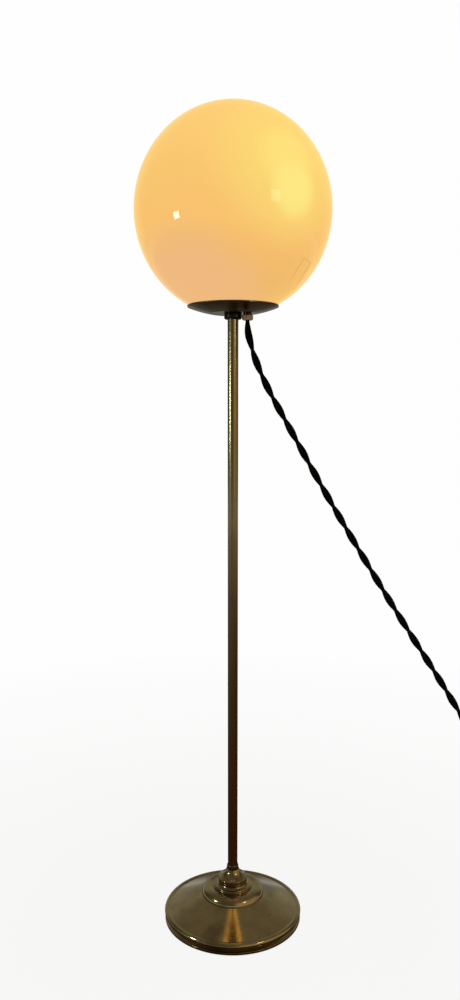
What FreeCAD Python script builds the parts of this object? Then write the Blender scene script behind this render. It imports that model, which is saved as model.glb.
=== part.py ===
import FreeCAD, Part
import Sketcher
import math
import os

from FreeCAD import Placement, Rotation, Vector

# Globe floor lamp. Millimetres, +Z up, origin on the floor at the middle of the foot.

doc = FreeCAD.newDocument("GlobeFloorLamp")

# ---------------------------------------------------------------- driving sizes
SIZES = {
    # foot
    "felt_radius": 85.5, "felt_thickness": 2.0,
    "shell_lift": 1.0, "shell_wall": 1.0,
    "flange_radius": 90.4, "flange_height": 3.6, "flange_round": 1.2,
    "groove_radius": 88.0, "groove_height": 3.4,
    "bead_radius": 90.7, "bead_lower_height": 2.4, "bead_upper_height": 5.6, "bead_top_radius": 87.2,
    "bead_round": 4.6, "cone_foot_radius": 84.3, "cone_foot_height": 15.1,
    "cone_slope": 0.455, "shell_land_radius": 31.0,
    "weight_edge_height": 9.0, "weight_gap": 0.3,
    "recess_radius": 15.0, "recess_depth": 8.0,
    "washer_radius": 11.0, "washer_thickness": 1.5,
    "nut_flats": 14.0, "nut_height": 3.0,
    # threaded tubes, 10 mm
    "thread_radius": 5.0, "thread_bore": 4.0, "thread_clearance": 0.05, "hole_clearance": 0.2,
    "nipple_below_nut": 1.5, "nipple_in_pole": 14.0,
    # cushion, cup and ring at the foot of the pole
    "cushion_radius": 41.3, "cushion_foot_radius": 41.0, "cushion_lip": 2.2, "cushion_height": 10.0,
    "cushion_top_radius": 29.0, "cushion_round": 10.0, "cushion_wall": 0.9, "seat_clearance": 0.1,
    "foot_ring_radius": 26.0, "foot_ring_height": 1.7, "foot_ring_round": 0.5,
    "step_radius": 24.6, "step_height": 1.6, "step_lean": 0.4,
    "cup_radius": 19.2, "cavetto_height": 2.4, "cavetto_round": 4.4, "cup_wall_height": 6.9,
    "cup_shoulder": 1.0, "cup_neck_height": 11.6, "cup_neck_round": 17.0, "cup_top_radius": 8.4,
    "pole_ring_radius": 7.6, "pole_ring_height": 6.0, "pole_ring_round": 1.6,
    # pole
    "pole_radius": 6.35, "pole_bore": 4.7, "pole_length": 701.0, "tapped_length": 16.0,
    "slide_clearance": 0.08,
    # collar and dish
    "collar_radius": 10.4, "collar_height": 6.6, "collar_round": 2.4, "collar_socket": 1.0,
    "dish_land_radius": 27.0, "dish_bowl_radius": 150.0, "dish_sheet": 0.8,
    "dish_radius": 53.2, "dish_lip_inset": 0.7, "dish_lip_height": 1.2,
    # globe, its seat and its holder
    "globe_radius": 112.5, "globe_wall": 3.0, "globe_edge_radius": 44.0, "globe_bore": 38.0,
    "globe_gap": 0.3, "seat_edge": 0.92, "seat_inset": 0.6, "seat_gap": 0.15,
    "holder_sheet": 1.0, "hub_radius": 9.6, "arm_root": 1.0, "arm_bend_radius": 22.0, "arm_rise": 4.6,
    "finger_clearance": 0.6, "finger_height": 11.0, "finger_lean": 1.2, "finger_bend": 2.0,
    "arm_width": 8.0, "arm_turn": 38.0,
    # cord bush
    "grip_offset": 18.2, "grip_turn": -22.6, "grip_radius": 6.5, "grip_height": 5.6, "grip_round": 1.6,
    "grip_neck": 2.5, "stud_radius": 4.95, "grip_bore": 3.9, "stud_above_nut": 1.0,
    # lampholder
    "boss_radius": 8.0, "boss_height": 3.0, "holder_radius": 19.0, "cap_cone_height": 12.0,
    "cap_height": 24.0, "cap_wall": 2.0, "cap_floor": 5.0, "entry_radius": 4.3, "entry_height": 9.2,
    "boss_step": 1.0,
    "sleeve_height": 30.0, "sleeve_wall": 2.3, "sleeve_lip": 1.6, "sleeve_mouth": 14.6, "sleeve_round": 1.5,
    "insert_radius": 16.0, "insert_height": 11.2, "insert_drop": 8.4,
    "thread_shell_bore": 13.35, "thread_shell_wall": 0.5, "thread_shell_height": 24.0,
    "contact_width": 6.0, "contact_length": 14.0, "contact_foot": 4.0, "contact_sheet": 0.5,
    "contact_rise": 2.0,
    "terminal_radius": 2.2, "terminal_head": 1.6, "terminal_offset": 9.0,
    # bulb
    "bulb_cap_radius": 13.15, "bulb_cap_height": 22.0, "bulb_cap_wall": 0.35, "bulb_cap_taper": 1.6,
    "insulator_height": 3.6, "insulator_radius": 11.6, "tip_radius": 4.6, "tip_height": 1.0,
    "tip_collar": 0.6, "bulb_radius": 30.0, "bulb_length": 106.0, "bulb_neck_radius": 12.4,
    "neck_in_cap": 8.0, "neck_above_cap": 4.0, "bulb_flare": 60.0, "bulb_glass_wall": 0.9,
    "bulb_shoulder": 24.6, "stem_radius": 4.0, "stem_height": 36.0, "stem_gap": 0.4,
    "stem_flare_height": 10.0, "stem_flare": 16.0, "stem_button": 1.0,
    "filament_radius": 0.4, "filament_width": 20.0, "filament_rise": 22.0, "filament_foot": 4.0,
    "filament_drop": 2.0, "filament_sag": 0.6,
    # cord and plug
    "cord_diameter": 7.5, "strand_diameter": 3.6, "strand_pitch": 3.8,
    "cord_drop": 12.0, "cord_into_plug": 14.0, "cord_in_relief": 12.0,
    "coil_radius": 48.0, "coil_step": 8.0, "coil_layer": 8.0,
    "relief_length": 26.0, "relief_front_radius": 6.2, "relief_back_radius": 4.9, "relief_bore": 3.85,
    "plug_length": 34.0, "plug_width": 26.0, "plug_back_width": 16.0, "plug_thickness": 14.0,
    "plug_round": 3.0, "plug_taper": 15.3,
    "pin_radius": 2.0, "pin_length": 19.0, "pin_spacing": 18.6, "pin_seat": 6.0, "pin_clearance": 0.05,
    "pin_round": 1.4, "hole_overcut": 1.0,
    "plug_screw_radius": 2.6, "plug_screw_head": 1.2, "plug_screw_place": 15.0, "plug_screw_edge": 0.3,
}

sheet = doc.addObject("Spreadsheet::Sheet", "Sizes")
for row, (alias, number) in enumerate(SIZES.items(), start=1):
    sheet.set(f"A{row}", alias)
    sheet.set(f"B{row}", str(number))
    sheet.setAlias(f"B{row}", alias)
doc.recompute()


class Size:
    """A length with the spreadsheet expression that gives it."""

    def __init__(self, text, number):
        self.text = text
        self.number = number

    def joined(self, sign, other, number):
        return Size(f"({self.text} {sign} {text_of(other)})", number)

    def __add__(self, other):
        return self.joined("+", other, self.number + number_of(other))

    def __sub__(self, other):
        return self.joined("-", other, self.number - number_of(other))

    def __mul__(self, other):
        return self.joined("*", other, self.number * number_of(other))

    def __truediv__(self, other):
        return self.joined("/", other, self.number / number_of(other))

    def __neg__(self):
        return Size(f"(0 - {self.text})", -self.number)

    def root(self):
        return Size(f"sqrt({self.text})", math.sqrt(self.number))


def text_of(value):
    return value.text if isinstance(value, Size) else repr(float(value))


def number_of(value):
    return value.number if isinstance(value, Size) else float(value)


def size(alias):
    return Size(f"Sizes.{alias}", float(sheet.get(alias)))


def circle_drop(radius, reach):
    """Height from a circle's centre down to its point at the given reach from the axis."""
    return (radius * radius - reach * reach).root()


# ---------------------------------------------------------------- building blocks
nodes = []


def keep(item):
    nodes.append(item)
    return item


def new_body(label):
    body = doc.addObject("PartDesign::Body", label)
    body.Label = label
    return keep(body)


def put(item, x=0.0, y=0.0, z=0.0, turn=None):
    """Place a sub-part, with each coordinate bound to its expression."""
    spin = Rotation(Vector(0, 0, 1), number_of(turn) if turn is not None else 0.0)
    item.Placement = Placement(Vector(number_of(x), number_of(y), number_of(z)), spin)
    for axis, value in (("x", x), ("y", y), ("z", z)):
        if isinstance(value, Size):
            item.setExpression(f"Placement.Base.{axis}", value.text)
    if isinstance(turn, Size):
        item.setExpression("Placement.Rotation.Angle", turn.text)


def new_sketch(body, role, name, lift=None):
    sketch = body.newObject("Sketcher::SketchObject", name)
    plane = next(item for item in body.Origin.OriginFeatures if item.Role == role)
    sketch.AttachmentSupport = (plane, [""])
    sketch.MapMode = "FlatFace"
    if lift is not None:
        sketch.AttachmentOffset = Placement(Vector(0, 0, number_of(lift)), Rotation())
        if isinstance(lift, Size):
            sketch.setExpression("AttachmentOffset.Base.z", lift.text)
    return sketch


def arc_through(start, end, radius):
    """Part arc from start to end; a positive radius bulges to the right of the way, else to the left."""
    middle = (start + end) * 0.5
    along = end - start
    half = along.Length / 2
    right = Vector(along.y, -along.x, 0).normalize()
    side = 1.0 if radius > 0 else -1.0
    deep = abs(radius) - math.sqrt(radius * radius - half * half)
    return Part.Arc(start, middle + right * (side * deep), end)


def outline(sketch, points):
    """Closed outline. Each point is (x, y) for a straight way to it or (x, y, radius) for an arc."""
    spots = [Vector(number_of(point[0]), number_of(point[1]), 0) for point in points]
    count = len(points)
    edges = []
    for index, point in enumerate(points):
        start = spots[index - 1]
        end = spots[index]
        if len(point) == 3:
            edge = arc_through(start, end, number_of(point[2]))
        else:
            edge = Part.LineSegment(start, end)
        edges.append(sketch.addGeometry(edge, False))
    for index, point in enumerate(points):
        edge = edges[index]
        behind = edges[(index + 1) % count]
        end_mark = end_of(sketch, edge, spots[index])
        start_mark = end_of(sketch, behind, spots[index])
        sketch.addConstraint(Sketcher.Constraint("Coincident", edge, end_mark, behind, start_mark))
        bind(sketch, Sketcher.Constraint("DistanceX", -1, 1, edge, end_mark, spots[index].x), point[0])
        bind(sketch, Sketcher.Constraint("DistanceY", -1, 1, edge, end_mark, spots[index].y), point[1])
        if len(point) == 3:
            radius = point[2] if number_of(point[2]) > 0 else -point[2]
            bind(sketch, Sketcher.Constraint("Radius", edge, number_of(radius)), radius)


def bind(sketch, rule, value):
    number = sketch.addConstraint(rule)
    if isinstance(value, Size):
        sketch.setExpression(f"Constraints[{number}]", value.text)


def end_of(sketch, edge, spot):
    """1 or 2: the end of the edge that lies at the spot."""
    return 1 if sketch.getPoint(edge, 1).distanceToPoint(spot) < 1e-6 else 2


def ring_at(sketch, x, y, radius):
    """Circle with its centre and radius bound."""
    spot = Vector(number_of(x), number_of(y), 0)
    edge = sketch.addGeometry(Part.Circle(spot, Vector(0, 0, 1), number_of(radius)), False)
    bind(sketch, Sketcher.Constraint("DistanceX", -1, 1, edge, 3, spot.x), x)
    bind(sketch, Sketcher.Constraint("DistanceY", -1, 1, edge, 3, spot.y), y)
    bind(sketch, Sketcher.Constraint("Radius", edge, number_of(radius)), radius)


def revolve(label, points):
    """Turned or spun piece: an outline of (radius, height) points revolved about the vertical axis."""
    body = new_body(label)
    sketch = new_sketch(body, "XZ_Plane", label + "_outline")
    outline(sketch, points)
    turned = body.newObject("PartDesign::Revolution", label + "_revolution")
    turned.Profile = sketch
    turned.ReferenceAxis = (sketch, ["V_Axis"])
    turned.Angle = 360.0
    body.Tip = turned
    return body


def pad(body, sketch, name, length, midplane=False):
    solid = body.newObject("PartDesign::Pad", name)
    solid.Profile = sketch
    solid.Length = number_of(length)
    if isinstance(length, Size):
        solid.setExpression("Length", length.text)
    solid.Midplane = midplane
    body.Tip = solid
    return solid


def pocket_through(body, sketch, name):
    cut = body.newObject("PartDesign::Pocket", name)
    cut.Profile = sketch
    cut.Type = "ThroughAll"
    cut.Midplane = True
    body.Tip = cut
    return cut


def tube(label, outer, inner, height):
    """Plain ring or tube standing on its own zero."""
    return revolve(label, [(inner, 0.0), (outer, 0.0), (outer, height), (inner, height)])


def hex_nut(label, flats, bore, height):
    body = new_body(label)
    sketch = new_sketch(body, "XY_Plane", label + "_outline")
    corner = flats / math.sqrt(3)
    points = []
    for index in range(6):
        turn = math.radians(60 * index)
        points.append((corner * round(math.cos(turn), 9), corner * round(math.sin(turn), 9)))
    outline(sketch, points)
    ring_at(sketch, 0.0, 0.0, bore)
    pad(body, sketch, label + "_pad", height)
    return body


# ---------------------------------------------------------------- heights of the stack
clear_bore = size("thread_radius") + size("hole_clearance")
tapped_bore = size("thread_radius") + size("thread_clearance")


def cone_height(radius):
    """Outer surface of the foot's cone at a radius."""
    return size("cone_foot_height") + (size("cone_foot_radius") - radius) * size("cone_slope")


shell_land = cone_height(size("shell_land_radius"))
weight_top = shell_land - size("shell_wall")
recess_top = size("felt_thickness") + size("recess_depth")
washer_base = recess_top - size("washer_thickness")
nut_base = washer_base - size("nut_height")
nipple_base = nut_base - size("nipple_below_nut")
cushion_base = cone_height(size("cushion_foot_radius")) + size("seat_clearance")
cushion_top = cushion_base + size("cushion_height")
cup_height = (size("foot_ring_height") + size("step_height") + size("cavetto_height")
              + size("cup_wall_height") + size("cup_neck_height"))
pole_base = cushion_top + cup_height
pole_top = pole_base + size("pole_length")
collar_base = pole_top - size("collar_socket")
dish_base = collar_base + size("collar_height")
dish_floor = dish_base + size("dish_sheet")
holder_nut_base = dish_floor + size("holder_sheet")
cap_base = holder_nut_base + size("nut_height")
insert_base = cap_base + size("cap_height") - size("insert_drop")
insert_top = insert_base + size("insert_height")
sleeve_base = cap_base + size("cap_height")
bulb_base = insert_top + size("contact_rise") + size("globe_gap")


# ---------------------------------------------------------------- foot
def make_base_felt():
    felt = tube("base_felt", size("felt_radius"), size("recess_radius"), size("felt_thickness"))
    put(felt)


def make_base_shell():
    wall = size("shell_wall")
    low = size("shell_lift")
    flange_top = low + size("flange_height")
    groove_top = flange_top + size("groove_height")
    bead_wide = groove_top + size("bead_lower_height")
    bead_top = bead_wide + size("bead_upper_height")
    inner_radius = size("groove_radius") - wall
    drop = wall * 1.1
    inner_foot = size("cone_foot_radius") - wall
    inner_land = size("shell_land_radius") - wall * 0.2
    shell = revolve("base_shell", [
        (inner_radius, low),
        (size("flange_radius"), low),
        (size("flange_radius"), flange_top - size("flange_round")),
        (size("groove_radius"), flange_top),
        (size("groove_radius"), groove_top),
        (size("bead_radius"), bead_wide, size("bead_lower_height") * 1.6),
        (size("bead_top_radius"), bead_top, size("bead_round")),
        (size("cone_foot_radius"), size("cone_foot_height"), size("bead_round")),
        (size("shell_land_radius"), shell_land),
        (clear_bore, shell_land),
        (clear_bore, weight_top),
        (inner_land, weight_top),
        (inner_foot, cone_height(inner_foot) - drop),
        (inner_radius, groove_top + size("bead_lower_height")),
    ])
    put(shell)


def make_base_weight():
    low = size("felt_thickness")
    gap = size("weight_gap")
    radius = size("groove_radius") - size("shell_wall") - gap
    shoulder = size("cone_foot_radius") - size("shell_wall") - gap * 3
    drop = size("shell_wall") * 1.1 + gap
    weight = revolve("base_weight", [
        (size("recess_radius"), low),
        (radius, low),
        (radius, low + size("weight_edge_height") - gap),
        (shoulder, cone_height(shoulder) - drop),
        (size("shell_land_radius") - size("shell_wall") * 0.6, weight_top),
        (clear_bore, weight_top),
        (clear_bore, recess_top),
        (size("recess_radius"), recess_top),
    ])
    put(weight)


def make_base_fasteners():
    washer = tube("base_washer", size("washer_radius"), clear_bore, size("washer_thickness"))
    put(washer, z=washer_base)
    nut = hex_nut("base_nut", size("nut_flats"), tapped_bore, size("nut_height"))
    put(nut, z=nut_base)
    nipple = tube("base_nipple", size("thread_radius"), size("thread_bore"),
                  pole_base + size("nipple_in_pole") - nipple_base)
    put(nipple, z=nipple_base)


def make_cushion_ring():
    wall = size("cushion_wall")
    inner_foot = size("cushion_foot_radius") - wall
    lip = size("cushion_lip")
    high = size("cushion_height")
    cushion = revolve("cushion_ring", [
        (inner_foot, wall * size("cone_slope")),
        (size("cushion_foot_radius"), 0.0),
        (size("cushion_radius"), lip),
        (size("cushion_top_radius"), high, size("cushion_round")),
        (clear_bore, high),
        (clear_bore, high - wall),
        (size("cushion_top_radius") - wall * 0.3, high - wall),
        (size("cushion_radius") - wall, lip, -(size("cushion_round") - wall)),
    ])
    put(cushion, z=cushion_base)


def make_pole_cup():
    step_base = size("foot_ring_height")
    cavetto_base = step_base + size("step_height")
    wall_base = cavetto_base + size("cavetto_height")
    wall_top = wall_base + size("cup_wall_height")
    edge = size("foot_ring_round")
    shoulder = size("cup_shoulder")
    cup = revolve("pole_cup", [
        (clear_bore, 0.0),
        (size("foot_ring_radius") - edge, 0.0),
        (size("foot_ring_radius"), edge, edge),
        (size("foot_ring_radius"), step_base - edge),
        (size("foot_ring_radius") - edge, step_base, edge),
        (size("step_radius"), step_base),
        (size("step_radius") - size("step_lean"), cavetto_base, size("step_height")),
        (size("cup_radius"), wall_base, -size("cavetto_round")),
        (size("cup_radius"), wall_top),
        (size("cup_radius") - shoulder, wall_top + shoulder, shoulder * 1.1),
        (size("cup_top_radius"), cup_height, -size("cup_neck_round")),
        (clear_bore, cup_height),
    ])
    put(cup, z=cushion_top)


def make_pole_ring():
    bore = size("pole_radius") + size("slide_clearance")
    high = size("pole_ring_height")
    edge = size("pole_ring_round")
    lean = edge * 0.3
    ring = revolve("pole_ring", [
        (bore, 0.0),
        (size("pole_ring_radius") - lean, 0.0),
        (size("pole_ring_radius"), edge, edge * 1.8),
        (size("pole_ring_radius"), high - edge),
        (size("pole_ring_radius") - lean, high, edge * 1.8),
        (bore, high),
    ])
    put(ring, z=pole_base)


def make_pole_tube():
    long = size("pole_length")
    tapped = size("tapped_length")
    pole = revolve("pole_tube", [
        (tapped_bore, 0.0),
        (size("pole_radius"), 0.0),
        (size("pole_radius"), long),
        (tapped_bore, long),
        (tapped_bore, long - tapped),
        (size("pole_bore"), long - tapped),
        (size("pole_bore"), tapped),
        (tapped_bore, tapped),
    ])
    put(pole, z=pole_base)


# ---------------------------------------------------------------- head
def make_neck_collar():
    edge = size("collar_round")
    high = size("collar_height")
    socket = size("pole_radius") + size("slide_clearance")
    collar = revolve("neck_collar", [
        (socket, 0.0),
        (size("collar_radius") - edge, 0.0),
        (size("collar_radius"), edge, edge),
        (size("collar_radius"), high - edge * 0.5),
        (size("collar_radius") - edge * 0.5, high, edge * 0.5),
        (clear_bore, high),
        (clear_bore, size("collar_socket")),
        (socket, size("collar_socket")),
    ])
    put(collar, z=collar_base)


def bowl_height(reach, inset):
    """Height above the dish's underside of its bowl, moved inwards by inset, at a reach from the axis."""
    bowl = size("dish_bowl_radius")
    centre = circle_drop(bowl, size("dish_land_radius"))
    return centre - circle_drop(bowl - inset, reach)


def make_dish():
    sheet_wall = size("dish_sheet")
    land = size("dish_land_radius")
    bowl = size("dish_bowl_radius")
    turn_in = size("dish_radius") - size("dish_lip_inset")
    inner_edge = turn_in - sheet_wall * 0.6
    corner = bowl_height(turn_in, 0.0)
    lip_low = corner + size("dish_lip_inset")
    inner_land = land - sheet_wall * 0.1
    body = revolve("dish", [
        (clear_bore, 0.0),
        (land, 0.0),
        (turn_in, corner, bowl),
        (size("dish_radius"), lip_low, size("dish_lip_inset") * 1.2),
        (size("dish_radius"), lip_low + size("dish_lip_height")),
        (size("dish_radius") - sheet_wall, lip_low + size("dish_lip_height")),
        (inner_edge, bowl_height(inner_edge, sheet_wall)),
        (inner_land, bowl_height(inner_land, sheet_wall), -(bowl - sheet_wall)),
        (inner_land - 0.4, sheet_wall),
        (clear_bore, sheet_wall),
    ])
    hole = new_sketch(body, "XY_Plane", "dish_cord_hole")
    turn = math.radians(size("grip_turn").number)
    ring_at(hole, size("grip_offset") * math.cos(turn), size("grip_offset") * math.sin(turn),
            size("stud_radius") + size("hole_clearance"))
    pocket_through(body, hole, "dish_cord_pocket")
    put(body, z=dish_base)


def make_top_nipple():
    low = pole_top - size("nipple_in_pole")
    nipple = tube("top_nipple", size("thread_radius"), size("thread_bore"),
                  cap_base + size("cap_floor") - low)
    put(nipple, z=low)
    nut = hex_nut("holder_nut", size("nut_flats"), tapped_bore, size("nut_height"))
    put(nut, z=holder_nut_base)


def make_globe_holder():
    """Hub on the threaded tube, with three arms that rise to upright fingers inside the globe's edge."""
    sheet_wall = size("holder_sheet")
    outer = size("globe_bore") - size("finger_clearance")
    bend = size("arm_bend_radius")
    rise = size("arm_rise")
    top = rise + size("finger_height")
    finger_bend = top - size("finger_bend")
    root = size("hub_radius") - size("arm_root")
    body = new_body("globe_holder")
    hub = new_sketch(body, "XY_Plane", "globe_holder_hub")
    ring_at(hub, 0.0, 0.0, size("hub_radius"))
    ring_at(hub, 0.0, 0.0, clear_bore)
    pad(body, hub, "globe_holder_hub_pad", sheet_wall)
    side = new_sketch(body, "XZ_Plane", "globe_holder_arm")
    outline(side, [
        (root, 0.0),
        (bend, 0.0),
        (outer, rise),
        (outer, finger_bend),
        (outer - size("finger_lean"), top),
        (outer - size("finger_lean") - sheet_wall, top - sheet_wall * 0.2),
        (outer - sheet_wall, finger_bend - sheet_wall * 0.2),
        (outer - sheet_wall, rise + sheet_wall * 0.7),
        (bend - sheet_wall * 0.2, sheet_wall),
        (root, sheet_wall),
    ])
    arm = pad(body, side, "globe_holder_arm_pad", size("arm_width"), midplane=True)
    pattern = body.newObject("PartDesign::PolarPattern", "globe_holder_arms")
    pattern.Originals = [arm]
    pattern.Axis = (hub, ["N_Axis"])
    pattern.Angle = 360.0
    pattern.Occurrences = 3
    body.Tip = pattern
    put(body, z=dish_floor, turn=size("arm_turn"))


def seat_top():
    """Height above the dish's underside of the soft ring that the globe's edge stands on."""
    edge = size("globe_edge_radius")
    return bowl_height(edge, size("dish_sheet") + size("seat_gap")) + size("seat_edge")


def make_globe():
    radius = size("globe_radius")
    inner = radius - size("globe_wall")
    edge = size("globe_edge_radius")
    bore = size("globe_bore")
    mouth = seat_top() + size("globe_gap")
    centre = mouth + circle_drop(radius, edge)
    globe = revolve("globe", [
        (bore, mouth),
        (edge, mouth),
        (radius, centre, radius),
        (0.0, centre + radius, radius),
        (0.0, centre + inner),
        (inner, centre, -inner),
        (bore, centre - circle_drop(inner, bore), -inner),
    ])
    put(globe, z=dish_base)


def make_globe_seat():
    inner = size("globe_bore") + size("seat_inset")
    outer = size("globe_edge_radius")
    lift = size("dish_sheet") + size("seat_gap")
    top = seat_top()
    seat = revolve("globe_seat", [
        (inner, bowl_height(inner, lift)),
        (outer, bowl_height(outer, lift), size("dish_bowl_radius") - lift),
        (outer, top),
        (inner, top),
    ])
    put(seat, z=dish_base)


# ---------------------------------------------------------------- cord bush
grip_x = size("grip_offset") * math.cos(math.radians(SIZES["grip_turn"]))
grip_y = size("grip_offset") * math.sin(math.radians(SIZES["grip_turn"]))
bush_top = dish_base - size("grip_neck")
bush_base = bush_top - size("grip_height")


def make_cord_grip():
    edge = size("grip_round")
    high = size("grip_height")
    bush = revolve("grip_bush", [
        (size("grip_bore"), 0.0),
        (size("grip_radius") - edge, 0.0),
        (size("grip_radius"), edge, edge),
        (size("grip_radius"), high - edge * 0.5),
        (size("grip_radius") - edge * 0.5, high, edge * 0.5),
        (size("grip_bore"), high),
    ])
    put(bush, grip_x, grip_y, bush_base)
    stud_height = size("grip_neck") + size("dish_sheet") + size("nut_height") + size("stud_above_nut")
    stud = tube("grip_stud", size("stud_radius"), size("grip_bore"), stud_height)
    put(stud, grip_x, grip_y, bush_top)
    nut = hex_nut("grip_nut", size("nut_flats"), size("stud_radius") + size("thread_clearance"),
                  size("nut_height"))
    put(nut, grip_x, grip_y, dish_floor, turn=size("grip_turn"))


# ---------------------------------------------------------------- lampholder
def make_lampholder():
    wall = size("cap_wall")
    outer = size("holder_radius")
    cone_top = size("boss_height") + size("cap_cone_height")
    cap = revolve("holder_cap", [
        (tapped_bore, 0.0),
        (size("boss_radius"), 0.0),
        (size("boss_radius"), size("boss_height")),
        (outer, cone_top),
        (outer, size("cap_height")),
        (outer - wall, size("cap_height")),
        (outer - wall, cone_top + wall * 0.5),
        (size("boss_radius") - size("boss_step"), size("cap_floor")),
        (tapped_bore, size("cap_floor")),
    ])
    entry = new_sketch(cap, "YZ_Plane", "holder_cap_entry")
    ring_at(entry, 0.0, size("entry_height"), size("entry_radius"))
    cut = cap.newObject("PartDesign::Pocket", "holder_cap_entry_pocket")
    cut.Profile = entry
    cut.Type = "Length"
    cut.Length = (outer + size("hole_overcut")).number
    cut.setExpression("Length", (outer + size("hole_overcut")).text)
    cut.Reversed = True
    cap.Tip = cut
    put(cap, z=cap_base, turn=size("grip_turn"))

    sleeve_in = outer - size("sleeve_wall")
    high = size("sleeve_height")
    sleeve = revolve("holder_sleeve", [
        (sleeve_in, 0.0),
        (outer, 0.0),
        (outer, high - size("sleeve_round")),
        (outer - size("sleeve_round"), high, size("sleeve_round")),
        (size("sleeve_mouth"), high),
        (size("sleeve_mouth"), high - size("sleeve_lip")),
        (sleeve_in, high - size("sleeve_lip")),
    ])
    put(sleeve, z=sleeve_base)

    insert = tube("holder_insert", size("insert_radius"), size("terminal_radius"), size("insert_height"))
    put(insert, z=insert_base)
    shell_outer = size("thread_shell_bore") + size("thread_shell_wall")
    shell = tube("holder_thread", shell_outer, size("thread_shell_bore"), size("thread_shell_height"))
    put(shell, z=insert_top)
    make_holder_contact()
    make_terminal_screws()


def make_holder_contact():
    """Spring strip: flat on the insert at one end, rising to the bulb's tip in the middle."""
    half = size("contact_length") / 2
    thick = size("contact_sheet")
    rise = size("contact_rise")
    foot_end = size("contact_foot") - half
    body = new_body("holder_contact")
    side = new_sketch(body, "XZ_Plane", "holder_contact_side")
    outline(side, [
        (-half, 0.0),
        (foot_end, 0.0),
        (-size("tip_radius") * 0.4, rise - thick),
        (size("tip_radius"), rise - thick),
        (size("tip_radius"), rise),
        (-size("tip_radius") * 0.4 - thick, rise),
        (foot_end - thick * 0.5, thick),
        (-half, thick),
    ])
    pad(body, side, "holder_contact_pad", size("contact_width"), midplane=True)
    put(body, z=insert_top)


def make_terminal_screws():
    """Two terminal screws under the insert, one at the end of each wire."""
    head = size("terminal_head")
    screws = doc.addObject("Part::Feature", "terminal_screws")
    screws.Label = "terminal_screws"
    place = Vector(size("terminal_offset").number, 0, 0)
    across = Vector(0, size("terminal_offset").number * 0.75, 0)
    heads = []
    for side in (-1, 1):
        heads.append(Part.makeCylinder(size("terminal_radius").number, head.number,
                                       place * -0.4 + across * side))
    screws.Shape = Part.makeCompound(heads)
    put(keep(screws), z=insert_base - head, turn=size("grip_turn"))


# ---------------------------------------------------------------- bulb
def make_bulb():
    tip_high = size("tip_height")
    cap_low = tip_high + size("insulator_height")
    tip = revolve("bulb_tip", [
        (0.0, 0.0),
        (size("tip_radius") * 0.5, 0.0),
        (size("tip_radius"), tip_high, size("tip_radius")),
        (0.0, tip_high),
    ])
    put(tip, z=bulb_base)
    insulator = revolve("bulb_insulator", [
        (0.0, tip_high),
        (size("tip_radius") + size("tip_collar"), tip_high),
        (size("insulator_radius"), cap_low),
        (0.0, cap_low),
    ])
    put(insulator, z=bulb_base)
    wall = size("bulb_cap_wall")
    inner = size("bulb_cap_radius") - wall
    cap = revolve("bulb_cap", [
        (size("insulator_radius") * 0.6, cap_low),
        (size("insulator_radius"), cap_low),
        (size("bulb_cap_radius"), cap_low + size("bulb_cap_taper")),
        (size("bulb_cap_radius"), cap_low + size("bulb_cap_height")),
        (inner, cap_low + size("bulb_cap_height")),
        (inner, cap_low + size("bulb_cap_taper") + wall),
        (size("insulator_radius") - wall, cap_low + wall),
        (size("insulator_radius") * 0.6, cap_low + wall),
    ])
    put(cap, z=bulb_base)
    make_bulb_glass(cap_low)


def make_bulb_glass(cap_low):
    wall = size("bulb_glass_wall")
    radius = size("bulb_radius")
    neck = size("bulb_neck_radius")
    shoulder = size("bulb_shoulder")
    flare = size("bulb_flare")
    neck_low = cap_low + size("bulb_cap_height") - size("neck_in_cap")
    neck_high = cap_low + size("bulb_cap_height") + size("neck_above_cap")
    centre = size("bulb_length") - radius
    inner = radius - wall
    inner_shoulder = shoulder - wall * 0.6
    glass = revolve("bulb_glass", [
        (neck - wall, neck_low),
        (neck, neck_low),
        (neck, neck_high),
        (shoulder, centre - circle_drop(radius, shoulder), -flare),
        (radius, centre, radius),
        (0.0, centre + radius, radius),
        (0.0, centre + inner),
        (inner, centre, -inner),
        (inner_shoulder, centre - circle_drop(inner, inner_shoulder), -inner),
        (neck - wall, neck_high, flare),
    ])
    put(glass, z=bulb_base)
    button = size("stem_button")
    stem_low = neck_low + button
    stem_high = stem_low + size("stem_height")
    stem = revolve("bulb_stem", [
        (0.0, stem_low),
        (neck - wall - size("stem_gap"), stem_low),
        (size("stem_radius") * 0.6, stem_low + size("stem_flare_height"), -size("stem_flare")),
        (size("stem_radius") * 0.6, stem_high - button),
        (size("stem_radius"), stem_high - button),
        (size("stem_radius"), stem_high),
        (0.0, stem_high),
    ])
    put(stem, z=bulb_base)
    make_filament(stem_high)


def make_filament(stem_high):
    half = size("filament_width").number / 2
    foot = size("stem_radius").number * 0.6
    low = stem_high.number
    high = low + size("filament_rise").number
    bend = low + size("filament_foot").number
    shoulder = high - size("filament_drop").number
    sag = high - size("filament_sag").number
    line = [(-foot, low), (-foot, bend), (-half, shoulder), (-half * 0.4, high),
            (half * 0.4, sag), (half, shoulder), (foot, bend), (foot, low)]
    route = [Vector(x, 0, z) for x, z in line]
    filament = doc.addObject("Part::Feature", "bulb_filament")
    filament.Label = "bulb_filament"
    filament.Shape = swept(rounded(route, 0.3)[0], size("filament_radius").number)
    put(keep(filament), z=bulb_base)


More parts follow.
